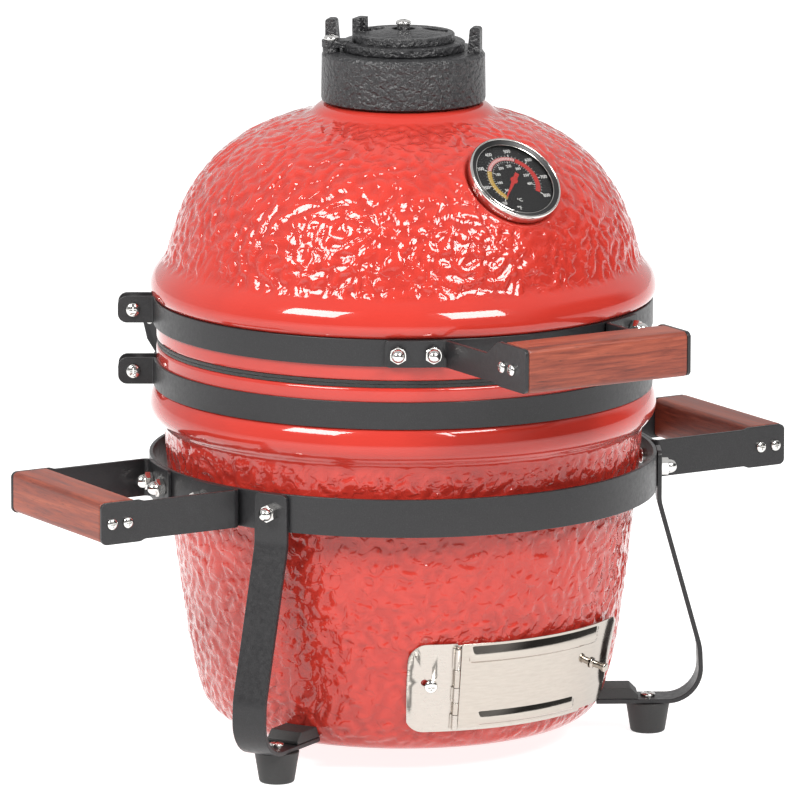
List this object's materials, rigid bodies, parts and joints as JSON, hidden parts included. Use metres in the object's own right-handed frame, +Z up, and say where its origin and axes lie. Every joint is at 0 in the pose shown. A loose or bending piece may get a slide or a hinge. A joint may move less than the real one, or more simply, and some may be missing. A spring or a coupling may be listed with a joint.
{
  "type": "kamado ceramic grill",
  "caption": "Table-top kamado grill: crackle-glazed ceramic bowl and hinged dome, banded in steel, on a legged stand with wooden handles, top damper and draft door.",
  "frame": {"origin": "on the vertical axis of the ceramic bowl, in the plane the feet stand on", "axes": "+Z up along the axis of the bowl and dome; -Y is the front (lid handle, thermometer, draft door); +X is to the right when facing along +Y"},
  "size_m": [0.518, 0.4483, 0.474],
  "materials": {
    "red_glaze": "high-gloss crackle-relief ceramic glaze over fired ceramic",
    "refractory": "unglazed matt refractory ceramic",
    "felt": "black heat-resistant felt",
    "powder_black": "satin fine-texture black powder coat",
    "cast_iron": "rough cast, black heat paint",
    "wood": "oiled reddish-brown hardwood",
    "chrome": "bright plated",
    "stainless": "polished stainless sheet",
    "dial_black": "printed dial face",
    "pointer_red": "gloss red",
    "clear_glass": "clear flat glass",
    "rubber_black": "moulded satin rubber",
    "grate_steel": "bright wire"
  },
  "bodies": {
    "base": {"bowl": "red_glaze", "lower_gasket": "felt", "lower_front_band": "powder_black", "lower_rear_band": "powder_black", "lower_clamp_screws": "chrome", "lower_clamp_nuts": "chrome", "hinge_pins": "chrome", "hinge_pin_nuts": "chrome", "fire_bowl": "refractory", "fire_ring": "refractory", "draft_frame": "stainless", "draft_frame_screws": "chrome", "draft_hinge_pin": "stainless", "stand_ring": "powder_black", "leg_left": "powder_black", "leg_right": "powder_black", "leg_rear": "powder_black", "leg_pads": "rubber_black", "feet": "rubber_black", "foot_screws": "chrome", "leg_bolts": "chrome", "leg_nuts": "chrome", "left_handle_front_arm": "powder_black", "left_handle_rear_arm": "powder_black", "right_handle_front_arm": "powder_black", "right_handle_rear_arm": "powder_black", "left_handle_bar": "wood", "right_handle_bar": "wood", "side_handle_screws": "chrome", "side_handle_bolts": "chrome", "side_handle_nuts": "chrome"},
    "lid": {"dome": "red_glaze", "upper_gasket": "felt", "upper_front_band": "powder_black", "upper_rear_band": "powder_black", "upper_clamp_screws": "chrome", "upper_clamp_nuts": "chrome", "lid_handle_bracket_left": "powder_black", "lid_handle_bracket_right": "powder_black", "lid_handle_bar": "wood", "lid_handle_studs": "chrome", "lid_handle_nuts": "chrome", "lid_handle_screws": "chrome", "thermometer_case": "stainless", "thermometer_bezel": "chrome", "thermometer_dial": "dial_black", "thermometer_glass": "clear_glass", "thermometer_stem": "stainless", "thermometer_nut": "stainless"},
    "pointer": {"thermometer_pointer": "pointer_red"},
    "damper": {"damper_base": "cast_iron", "damper_pivot_screw": "chrome"},
    "slide_plate": {"damper_slide": "cast_iron", "damper_wheel_screw": "chrome"},
    "wheel": {"damper_wheel": "cast_iron"},
    "cooking_grid": {"cooking_grate": "grate_steel"},
    "coal_grid": {"charcoal_grate": "cast_iron"},
    "draft_leaf": {"draft_door": "stainless", "draft_door_knob": "stainless"}
  },
  "joints": [
    {"name": "lid_hinge", "type": "hinge", "parent": "base", "child": "lid", "pos_m": [0, 0.176, 0.2605], "axis": [-1, 0, 0], "range_deg": [0, 72]},
    {"name": "damper_lift", "type": "slide", "parent": "lid", "child": "damper", "axis": [0, 0, 1], "range_m": [0, 0.04]},
    {"name": "damper_swing", "type": "hinge", "parent": "damper", "child": "slide_plate", "pos_m": [-0.04435, 0.01702, 0.457], "axis": [0, 0, 1], "range_deg": [-85, 0]},
    {"name": "wheel_turn", "type": "hinge", "parent": "slide_plate", "child": "wheel", "pos_m": [0, 0, 0.463], "axis": [0, 0, 1], "range_deg": [-37.5, 0]},
    {"name": "pointer_turn", "type": "hinge", "parent": "lid", "child": "pointer", "pos_m": [0.01055, -0.12054, 0.385], "axis": [0.0616, -0.7044, 0.7071], "range_deg": [-270, 0]},
    {"name": "draft_door_swing", "type": "hinge", "parent": "base", "child": "draft_leaf", "pos_m": [-0.03991, -0.13054, 0.031], "axis": [-0.0582, -0.1905, 0.98], "range_deg": [-110, 0]},
    {"name": "cooking_grate_lift", "type": "slide", "parent": "base", "child": "cooking_grid", "axis": [0, 0, 1], "range_m": [0, 0.03]},
    {"name": "charcoal_grate_lift", "type": "slide", "parent": "base", "child": "coal_grid", "axis": [0, 0, 1], "range_m": [0, 0.06]}
  ]
}
